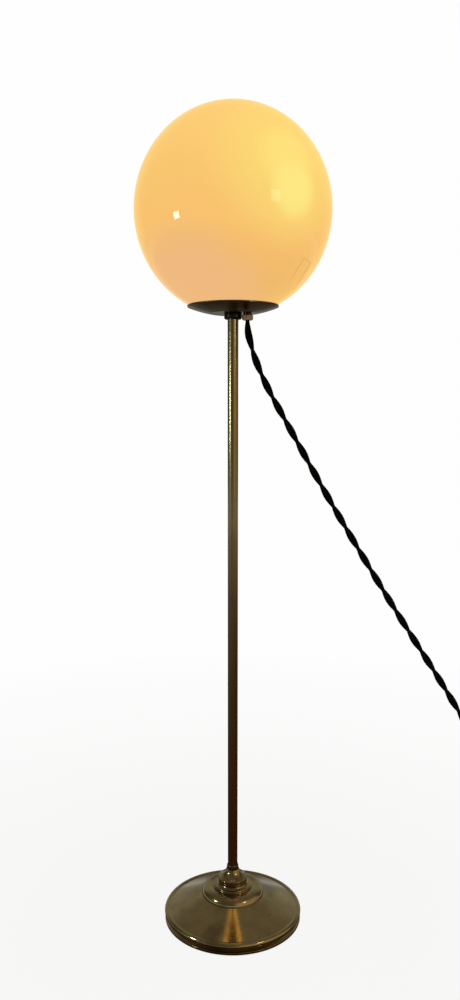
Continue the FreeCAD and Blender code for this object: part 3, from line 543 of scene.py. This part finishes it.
def agedBrass(name, tones, spun=True, along=1.0):
    material, tree, shader = startMaterial(name)
    place = objectPlace(tree, (1.0, 1.0, along))
    patches = noise(tree, place, brass["patchScale"], 5.0)
    colours = (tones["brown"], tones["olive"], tones["golden"])
    tone = ramp(tree, patches, list(zip(brass["patchStops"], colours)))
    spots = noise(tree, place, brass["spotScale"], 3.0, 0.7)
    specks = ramp(tree, spots, list(zip(brass["spotStops"], (grey(0.0), grey(1.0)))))
    link(tree, mixColour(tree, specks, tone, tones["brown"]), shader.inputs["Base Color"])
    shader.inputs["Metallic"].default_value = 1.0
    shader.inputs["Coat Weight"].default_value = brass["coat"]
    link(tree, spread(tree, patches, *brass["coatRough"]), shader.inputs["Coat Roughness"])
    lines = spunLines(tree, brass["spinSpacing"]) if spun else drawnLines(tree, brass["drawScale"])
    wear = calculate(tree, "MULTIPLY", patches, lines)
    smooth, dull = tones["rough"]
    link(tree, spread(tree, wear, dull, smooth, *brass["wear"]), shader.inputs["Roughness"])
    bump(tree, shader, lines, brass["spinBump"] if spun else brass["drawBump"], brass["bumpDepth"])
    return material


def poleBrass():
    material = agedBrass("poleBrass", poleTones, spun=False, along=poleTones["along"])
    tree = material.node_tree
    colour = tree.nodes["Principled BSDF"].inputs["Base Color"]
    height = addNode(tree, "ShaderNodeSeparateXYZ", {"Vector": objectPlace(tree)}).outputs["Z"]
    tone = colour.links[0].from_socket
    # painted shade: darkens and reddens the pole towards its foot, by height
    for shadeBand in poleTones["shadeBands"]:
        share = spread(tree, height, shadeBand["share"], 0.0, *shadeBand["fade"])
        tone = mixColour(tree, share, tone, shadeBand["colour"])
    link(tree, tone, colour)
    return material


collarGloss = {
    "dark": (0.005, 0.002, 0.001),
    "light": (0.014, 0.006, 0.004),
    "smearScale": 160.0,
    "rough": (0.16, 0.32),
    "mirror": 0.30,
    "grainScale": 900.0,
}


def blackGloss():
    material, tree, shader = startMaterial("blackGloss")
    place = objectPlace(tree)
    smears = noise(tree, place, collarGloss["smearScale"], 4.0)
    tone = ramp(tree, smears, [(0.3, collarGloss["dark"]), (0.8, collarGloss["light"])])
    link(tree, tone, shader.inputs["Base Color"])
    link(tree, spread(tree, smears, *collarGloss["rough"]), shader.inputs["Roughness"])
    shader.inputs["Specular IOR Level"].default_value = collarGloss["mirror"]
    bump(tree, shader, noise(tree, place, collarGloss["grainScale"], 2.0), 0.08, 0.0001)
    return material


opal = {
    "centre": (0.0, 0.0, 0.8856),
    "low": (0.800, 0.445, 0.140),
    "middle": (0.910, 0.520, 0.150),
    "high": (0.895, 0.560, 0.155),
    "lowBand": (-0.85, -0.25),  # heights in radii, from the glass's centre
    "highBand": (-0.15, 0.60),
    "front": (0.0, -1.0, 0.0),
    "edge": (0.895, 0.560, 0.165),
    "edgeWidth": 0.75,
    "edgeShare": 0.8,
    "tints": [  # pink low on the left, then three that grow brighter towards the hot spot on the right
        {"way": (-0.350, -0.480, -0.800), "start": 0.66, "full": 1.0, "colour": (0.830, 0.470, 0.205)},
        {"way": (0.500, -0.800, 0.300), "start": 0.60, "full": 1.0, "colour": (0.900, 0.630, 0.160)},
        {"way": (0.500, -0.800, 0.300), "start": 0.91, "full": 1.01, "colour": (0.920, 0.715, 0.180)},
        {"way": (0.560, -0.818, 0.020), "start": 0.950, "full": 1.004, "colour": (0.920, 0.770, 0.215)},
    ],
    "cloudScale": 14.0,
    "cloudStretch": (1.0, 1.0, 0.45),
    "cloudShare": 0.18,
    "cloudTones": (0.85, 1.12),
    "unlit": (0.13, 0.07, 0.03),
    "rough": (0.010, 0.022),
    "mirror": 0.20,
}

# a faint slanted rectangular outline on the glass, and specks of dirt
outlineAndSpecks = {
    "place": (0.0727, -0.0443, 0.8128),
    "turn": (98.7, 33.0, 0.0),  # degrees; it faces the front and leans to the right
    "size": (0.0042, 0.0165),
    "line": 0.0006,
    "strength": 0.85,
    "depth": (-0.040, -0.030),  # keeps the outline off the far side of the glass
    "faint": 0.25,  # share of that strength left at the lower end
    "colour": (0.520, 0.330, 0.090),
    "speckScale": 42.0,
    "speckSize": (0.014, 0.028),
    "speckStrength": 0.7,
}


# the faint slanted outline low on the right of the glass, and a few specks of dirt
def outlineAndSpeckMarks(tree, spot):
    turned = addNode(tree, "ShaderNodeMapping", {"Vector": spot}, vector_type="TEXTURE")
    turned.inputs["Location"].default_value = outlineAndSpecks["place"]
    turned.inputs["Rotation"].default_value = [math.radians(angle) for angle in outlineAndSpecks["turn"]]
    sides = addNode(tree, "ShaderNodeVectorMath", {0: turned.outputs[0]}, operation="ABSOLUTE").outputs[0]
    over = addNode(tree, "ShaderNodeVectorMath", {0: sides, 1: (*outlineAndSpecks["size"], 0.0)},
                   operation="SUBTRACT").outputs[0]
    parts = addNode(tree, "ShaderNodeSeparateXYZ", {"Vector": over}).outputs
    away = calculate(tree, "ABSOLUTE", calculate(tree, "MAXIMUM", parts["X"], parts["Y"]))
    line = spread(tree, away, outlineAndSpecks["strength"], 0.0, 0.0, outlineAndSpecks["line"])
    place = addNode(tree, "ShaderNodeSeparateXYZ", {"Vector": turned.outputs[0]}).outputs
    front = spread(tree, place["Z"], 0.0, 1.0, *outlineAndSpecks["depth"])
    fade = spread(tree, place["Y"], outlineAndSpecks["faint"], 1.0, -outlineAndSpecks["size"][1], 0.0)
    marked = calculate(tree, "MULTIPLY", line, front)
    faded = calculate(tree, "MULTIPLY", marked, fade)
    cells = addNode(tree, "ShaderNodeTexVoronoi", {"Vector": spot, "Scale": outlineAndSpecks["speckScale"]})
    speck = spread(tree, cells.outputs["Distance"], outlineAndSpecks["speckStrength"], 0.0, *outlineAndSpecks["speckSize"])
    return calculate(tree, "MAXIMUM", faded, speck)


def litOpalGlass():
    material, tree, shader = startMaterial("litOpalGlass")
    spot = addNode(tree, "ShaderNodeTexCoord").outputs["Object"]
    centred = addNode(tree, "ShaderNodeVectorMath", {0: spot, 1: opal["centre"]}, operation="SUBTRACT")
    way = addNode(tree, "ShaderNodeVectorMath", {0: centred.outputs[0]}, operation="NORMALIZE").outputs[0]
    height = addNode(tree, "ShaderNodeSeparateXYZ", {"Vector": way}).outputs["Z"]
    tone = mixColour(tree, spread(tree, height, 0.0, 1.0, *opal["lowBand"]), opal["low"], opal["middle"])
    tone = mixColour(tree, spread(tree, height, 0.0, 1.0, *opal["highBand"]), tone, opal["high"])
    facing = towards(tree, way, opal["front"], 0.0, opal["edgeWidth"])
    tone = mixColour(tree, spread(tree, facing, opal["edgeShare"], 0.0), tone, opal["edge"])
    tone = tintSides(tree, way, tone, opal["tints"])
    cloud = noise(tree, objectPlace(tree, opal["cloudStretch"]), opal["cloudScale"], 3.0, 0.5)
    dim, bright = opal["cloudTones"]
    clouded = mixColour(tree, cloud, grey(dim), grey(bright))
    tone = mixColour(tree, opal["cloudShare"], tone, clouded, "MULTIPLY")
    tone = mixColour(tree, outlineAndSpeckMarks(tree, spot), tone, outlineAndSpecks["colour"])
    link(tree, tone, shader.inputs["Emission Color"])
    shader.inputs["Emission Strength"].default_value = 1.0
    shader.inputs["Base Color"].default_value = (*opal["unlit"], 1.0)
    link(tree, spread(tree, cloud, *opal["rough"]), shader.inputs["Roughness"])
    shader.inputs["Specular IOR Level"].default_value = opal["mirror"]
    return material


def plainFinish(name, dark, light, rough, metal=0.0, grain=300.0, bumpStrength=0.1, bumpDepth=0.0002):
    material, tree, shader = startMaterial(name)
    place = objectPlace(tree)
    tone = noise(tree, place, grain * 0.2, 4.0)
    fine = noise(tree, place, grain, 4.0, 0.65)
    link(tree, ramp(tree, tone, [(0.32, dark), (0.70, light)]), shader.inputs["Base Color"])
    link(tree, spread(tree, fine, rough[0], rough[1], 0.3, 0.7), shader.inputs["Roughness"])
    shader.inputs["Metallic"].default_value = metal
    bump(tree, shader, fine, bumpStrength, bumpDepth)
    return material


def feltFinish():
    material = plainFinish("greenFelt", (0.020, 0.045, 0.028), (0.045, 0.085, 0.055), (0.85, 1.0),
                           grain=1800.0, bumpStrength=0.6, bumpDepth=0.0006)
    material.node_tree.nodes["Principled BSDF"].inputs["Sheen Weight"].default_value = 0.5
    return material


def clearGlass():
    material, tree, shader = startMaterial("clearGlass")
    shader.inputs["Transmission Weight"].default_value = 1.0
    shader.inputs["IOR"].default_value = 1.48
    smears = noise(tree, objectPlace(tree), 90.0, 3.0)
    link(tree, spread(tree, smears, 0.01, 0.09, 0.4, 0.75), shader.inputs["Roughness"])
    link(tree, ramp(tree, smears, [(0.3, (0.93, 0.94, 0.95)), (0.8, (0.88, 0.90, 0.91))]),
         shader.inputs["Base Color"])
    return material


def glowingWire():
    material, tree, shader = startMaterial("glowingWire")
    shader.inputs["Metallic"].default_value = 1.0
    fine = noise(tree, objectPlace(tree), 900.0, 2.0)
    link(tree, ramp(tree, fine, [(0.3, (1.0, 0.48, 0.13)), (0.7, (1.0, 0.66, 0.28))]),
         shader.inputs["Emission Color"])
    link(tree, spread(tree, fine, 0.3, 0.6), shader.inputs["Roughness"])
    shader.inputs["Emission Strength"].default_value = 9.0
    return material


braid = {
    # painted shade: the weave's low parts between strands are darker
    "gap": grey(0.0008),
    "dark": (0.0020, 0.0018, 0.0018),
    "light": (0.0060, 0.0055, 0.0050),
    "fuzzScale": 2600.0,
    "rough": (0.70, 0.90),
    "mirror": 0.06,
    "sheen": 0.03,
    "sheenRough": 0.5,
}


def braidedFabric():
    material, tree, shader = startMaterial("braidedFabric")
    spot = addNode(tree, "ShaderNodeUVMap", uv_map="weave")
    split = addNode(tree, "ShaderNodeSeparateXYZ", {"Vector": spot.outputs[0]}).outputs
    around = calculate(tree, "MULTIPLY", split["Y"], float(cordSizes["weaveAround"]))

    def wave(operation):
        both = calculate(tree, operation, split["X"], around)
        return calculate(tree, "SINE", calculate(tree, "MULTIPLY", both, math.pi))

    high = spread(tree, calculate(tree, "MULTIPLY", wave("ADD"), wave("SUBTRACT")), 0.0, 1.0, -1.0, 1.0)
    fuzz = noise(tree, objectPlace(tree), braid["fuzzScale"], 3.0)
    tone = mixColour(tree, fuzz, braid["dark"], braid["light"])
    # painted shade in the weave's gaps, under the strands' own tone
    link(tree, mixColour(tree, high, braid["gap"], tone), shader.inputs["Base Color"])
    link(tree, spread(tree, fuzz, *braid["rough"]), shader.inputs["Roughness"])
    shader.inputs["Specular IOR Level"].default_value = braid["mirror"]
    shader.inputs["Sheen Weight"].default_value = braid["sheen"]
    shader.inputs["Sheen Roughness"].default_value = braid["sheenRough"]
    bump(tree, shader, high, 0.8, 0.0005)
    return material


finishes = {
    "footBrass": agedBrass("footBrass", footTones),
    "poleBrass": poleBrass(),
    "darkBrass": agedBrass("darkBrass", darkTones),
    "blackGloss": blackGloss(),
    "opal": litOpalGlass(),
    "felt": feltFinish(),
    "iron": plainFinish("castIron", (0.018, 0.017, 0.016), (0.045, 0.042, 0.040), (0.55, 0.8),
                        metal=0.6, grain=500.0, bumpStrength=0.5, bumpDepth=0.0006),
    "steel": plainFinish("platedSteel", (0.42, 0.42, 0.41), (0.62, 0.61, 0.58), (0.22, 0.42),
                         metal=1.0, grain=700.0),
    "cork": plainFinish("seatCork", (0.19, 0.10, 0.05), (0.42, 0.27, 0.14), (0.75, 0.95),
                        grain=900.0, bumpStrength=0.7, bumpDepth=0.0005),
    "tan": plainFinish("tanPlastic", (0.46, 0.33, 0.20), (0.62, 0.47, 0.31), (0.38, 0.55),
                       grain=400.0, bumpStrength=0.15),
    "bakelite": plainFinish("bakelite", (0.012, 0.007, 0.005), (0.030, 0.016, 0.010), (0.12, 0.28),
                            grain=250.0, bumpStrength=0.05),
    "porcelain": plainFinish("porcelain", (0.74, 0.72, 0.67), (0.84, 0.82, 0.78), (0.12, 0.3),
                             grain=200.0, bumpStrength=0.05),
    "brightBrass": plainFinish("brightBrass", (0.62, 0.42, 0.15), (0.80, 0.58, 0.25), (0.18, 0.36),
                               metal=1.0, grain=600.0),
    "bulbMetal": plainFinish("bulbMetal", (0.50, 0.50, 0.49), (0.68, 0.67, 0.64), (0.2, 0.35),
                             metal=1.0, grain=500.0),
    "blackGlass": plainFinish("blackGlass", (0.005, 0.005, 0.007), (0.012, 0.012, 0.015), (0.05, 0.15),
                              grain=200.0, bumpStrength=0.03),
    "clearGlass": clearGlass(),
    "wire": glowingWire(),
    "braid": braidedFabric(),
    "strand": plainFinish("wireCover", (0.004, 0.004, 0.004), (0.013, 0.012, 0.011), (0.6, 0.85),
                          grain=1600.0, bumpStrength=0.4),
    "plug": plainFinish("plugPlastic", (0.008, 0.008, 0.008), (0.018, 0.017, 0.016), (0.3, 0.5),
                        grain=900.0, bumpStrength=0.25),
}

nodeFinish = {
    "base_felt": "felt", "base_shell": "footBrass", "base_weight": "iron", "base_washer": "steel",
    "base_nut": "steel", "base_nipple": "steel", "cushion_ring": "footBrass", "pole_cup": "footBrass",
    "pole_ring": "darkBrass", "pole_tube": "poleBrass", "neck_collar": "blackGloss", "dish": "darkBrass",
    "top_nipple": "steel", "holder_nut": "steel", "globe_holder": "steel", "globe_seat": "cork",
    "globe": "opal", "grip_bush": "tan", "grip_stud": "blackGloss", "grip_nut": "steel",
    "holder_cap": "bakelite", "holder_sleeve": "bakelite", "holder_insert": "porcelain",
    "holder_thread": "brightBrass", "holder_contact": "brightBrass", "terminal_screws": "steel",
    "bulb_tip": "bulbMetal", "bulb_insulator": "blackGlass", "bulb_cap": "bulbMetal",
    "bulb_glass": "clearGlass", "bulb_stem": "clearGlass", "bulb_filament": "wire",
    "wire_live": "strand", "wire_neutral": "strand", "plug_relief": "plug", "plug_body": "plug",
    "plug_pins": "brightBrass", "plug_screw": "steel",
}


# shapes that repeat on one piece, made with Geometry Nodes
sleeveGrip = {
    "profile": [(0.0167, 0.8045), (0.0180, 0.8045), (0.0184, 0.8049), (0.0184, 0.8300), (0.0186, 0.8312),
                (0.0186, 0.8332), (0.0181, 0.8341), (0.0173, 0.8345), (0.0146, 0.8345), (0.0146, 0.8329),
                (0.0167, 0.8329)],
    "inputs": {"Count": 44, "Ring radius": 0.01825, "Rib radius": 0.00075, "Rib height": 0.0220,
               "Place": (0.0, 0.0, 0.8175)},
    "ribSegments": 10,
    "ribRings": 8,
}

capThread = {
    "profile": [(0.0116, 0.8142), (0.0122, 0.8160), (0.0122, 0.8266), (0.01305, 0.8278), (0.01315, 0.8284),
                (0.01315, 0.8359), (0.0129, 0.8362), (0.0128, 0.8359), (0.0128, 0.8281), (0.0118, 0.8262),
                (0.0118, 0.8160), (0.0112, 0.8142)],
    "inputs": {"Ring radius": 0.01215, "Ridge radius": 0.00100, "Pitch": 0.0036, "Turns": 2.5,
               "Place": (0.0, 0.0, 0.8172)},
    "stepsPerTurn": 48,
    "ridgeSides": 12,
}

reliefRings = {
    "profile": [(0.00435, -0.0130), (0.00455, -0.0130), (0.00545, 0.0130), (0.00435, 0.0130)],
    "inputs": {"Count": 7, "Spacing": 0.0035, "First": -0.0118, "Ring radius": 0.00420,
               "Bead radius": 0.00070, "Grow": 1.28},
    "ringSides": 48,
    "beadSides": 10,
    "turn": (0.0, 90.0, 172.0),  # degrees; from the cord's end towards the plug
}

socketKinds = {int: "NodeSocketInt", float: "NodeSocketFloat", tuple: "NodeSocketVector"}


def startShape(name, values):
    tree = bpy.data.node_groups.new(name, "GeometryNodeTree")
    tree.interface.new_socket("Geometry", in_out="INPUT", socket_type="NodeSocketGeometry")
    tree.interface.new_socket("Geometry", in_out="OUTPUT", socket_type="NodeSocketGeometry")
    for label, value in values.items():
        tree.interface.new_socket(label, in_out="INPUT", socket_type=socketKinds[type(value)])
    return tree, tree.nodes.new("NodeGroupInput").outputs


# joins the repeated shape to the base and gives both one finish
def endShape(tree, given, repeated, finish):
    joined = tree.nodes.new("GeometryNodeJoinGeometry")
    link(tree, given["Geometry"], joined.inputs[0])
    link(tree, repeated, joined.inputs[0])
    real = addNode(tree, "GeometryNodeRealizeInstances", {0: joined.outputs[0]})
    last = addNode(tree, "GeometryNodeSetMaterial", {"Geometry": real.outputs[0],
                                                     "Material": finishes[finish]})
    link(tree, last.outputs[0], tree.nodes.new("NodeGroupOutput").inputs[0])


def shapeFrom(name, sizes, tree):
    item = addObject(name, latheMesh(name + "Base", sizes["profile"]))
    maker = item.modifiers.new(name, "NODES")
    maker.node_group = tree
    values = sizes["inputs"]
    for socket in tree.interface.items_tree:
        if socket.in_out == "INPUT" and socket.name in values:
            maker[socket.identifier] = values[socket.name]
    bpy.context.view_layer.update()
    ready = item.evaluated_get(bpy.context.evaluated_depsgraph_get())
    made = bpy.data.meshes.new_from_object(ready)
    item.modifiers.remove(maker)
    item.data = made
    made.name = name
    return item


def circleLine(tree, sides, radius):
    return addNode(tree, "GeometryNodeCurvePrimitiveCircle", {"Resolution": sides,
                                                              "Radius": radius}).outputs[0]


def makeSleeveGrip():
    tree, given = startShape("gripRibs", sleeveGrip["inputs"])
    ring = addNode(tree, "GeometryNodeMeshCircle", {"Vertices": given["Count"],
                                                    "Radius": given["Ring radius"]})
    placed = addNode(tree, "GeometryNodeTransform", {"Geometry": ring.outputs[0],
                                                     "Translation": given["Place"]})
    rib = addNode(tree, "GeometryNodeMeshUVSphere", {"Segments": sleeveGrip["ribSegments"],
                                                     "Rings": sleeveGrip["ribRings"],
                                                     "Radius": given["Rib radius"]})
    tall = calculate(tree, "DIVIDE", given["Rib height"], given["Rib radius"])
    halfTall = calculate(tree, "DIVIDE", tall, 2.0)
    stretch = addNode(tree, "ShaderNodeCombineXYZ", {"X": 1.0, "Y": 1.0, "Z": halfTall}).outputs[0]
    ribs = addNode(tree, "GeometryNodeInstanceOnPoints", {"Points": placed.outputs[0],
                                                          "Instance": rib.outputs[0], "Scale": stretch})
    endShape(tree, given, ribs.outputs[0], "bakelite")
    return shapeFrom("sleeveGrip", sleeveGrip, tree)


def makeCapThread():
    tree, given = startShape("threadTurns", capThread["inputs"])
    height = calculate(tree, "MULTIPLY", given["Pitch"], given["Turns"])
    line = addNode(tree, "GeometryNodeCurveSpiral", {"Resolution": capThread["stepsPerTurn"],
                                                     "Rotations": given["Turns"],
                                                     "Start Radius": given["Ring radius"],
                                                     "End Radius": given["Ring radius"],
                                                     "Height": height})
    ridge = circleLine(tree, capThread["ridgeSides"], given["Ridge radius"])
    turns = addNode(tree, "GeometryNodeCurveToMesh", {"Curve": line.outputs[0], "Profile Curve": ridge,
                                                      "Fill Caps": True})
    placed = addNode(tree, "GeometryNodeTransform", {"Geometry": turns.outputs[0],
                                                     "Translation": given["Place"]})
    endShape(tree, given, placed.outputs[0], "bulbMetal")
    return shapeFrom("capThread", capThread, tree)


def makeReliefRings():
    tree, given = startShape("flexRings", reliefRings["inputs"])
    first = addNode(tree, "ShaderNodeCombineXYZ", {"Z": given["First"]}).outputs[0]
    step = addNode(tree, "ShaderNodeCombineXYZ", {"Z": given["Spacing"]}).outputs[0]
    places = addNode(tree, "GeometryNodeMeshLine", {"Count": given["Count"], "Start Location": first,
                                                    "Offset": step})
    ring = circleLine(tree, reliefRings["ringSides"], given["Ring radius"])
    bead = circleLine(tree, reliefRings["beadSides"], given["Bead radius"])
    loop = addNode(tree, "GeometryNodeCurveToMesh", {"Curve": ring, "Profile Curve": bead})
    index = addNode(tree, "GeometryNodeInputIndex").outputs[0]
    lastIndex = calculate(tree, "SUBTRACT", given["Count"], 1.0)
    wide = spread(tree, index, 1.0, given["Grow"], 0.0, lastIndex)
    scale = addNode(tree, "ShaderNodeCombineXYZ", {"X": wide, "Y": wide, "Z": 1.0}).outputs[0]
    rings = addNode(tree, "GeometryNodeInstanceOnPoints", {"Points": places.outputs[0],
                                                           "Instance": loop.outputs[0], "Scale": scale})
    endShape(tree, given, rings.outputs[0], "plug")
    item = shapeFrom("reliefRings", reliefRings, tree)
    low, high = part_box("plug_relief")
    place = (Vector(low) + Vector(high)) / 2
    turn = Euler([math.radians(angle) for angle in reliefRings["turn"]]).to_matrix().to_4x4()
    item.data.transform(Matrix.Translation(place) @ turn)
    return item


gripSleeve = makeSleeveGrip()
threadedCap = makeCapThread()
ringedRelief = makeReliefRings()
for made in (gripSleeve, threadedCap, ringedRelief):
    shadeSmooth(made.data)
print("repeated shapes made:", len(gripSleeve.data.polygons), len(threadedCap.data.polygons),
      len(ringedRelief.data.polygons), "faces")


def dress(item, finish):
    item.data.materials.clear()
    item.data.materials.append(finishes[finish])


for nodeName, finish in nodeFinish.items():
    slots = nodes[nodeName].material_slots
    if len(slots) == 0:
        nodes[nodeName].data.materials.append(finishes[finish])
    for slot in slots:
        slot.material = finishes[finish]
dress(cord, "braid")
print("finishes on", len(nodeFinish), "nodes")


# what each piece rides on
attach(cord, "stand")
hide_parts("cord_lead", "cord_coil", "cord_tail")
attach(gripSleeve, "stand")
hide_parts("holder_sleeve")
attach(threadedCap, "bulb")
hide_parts("bulb_cap")
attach(ringedRelief, "stand")
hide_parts("plug_relief")

print("finished")
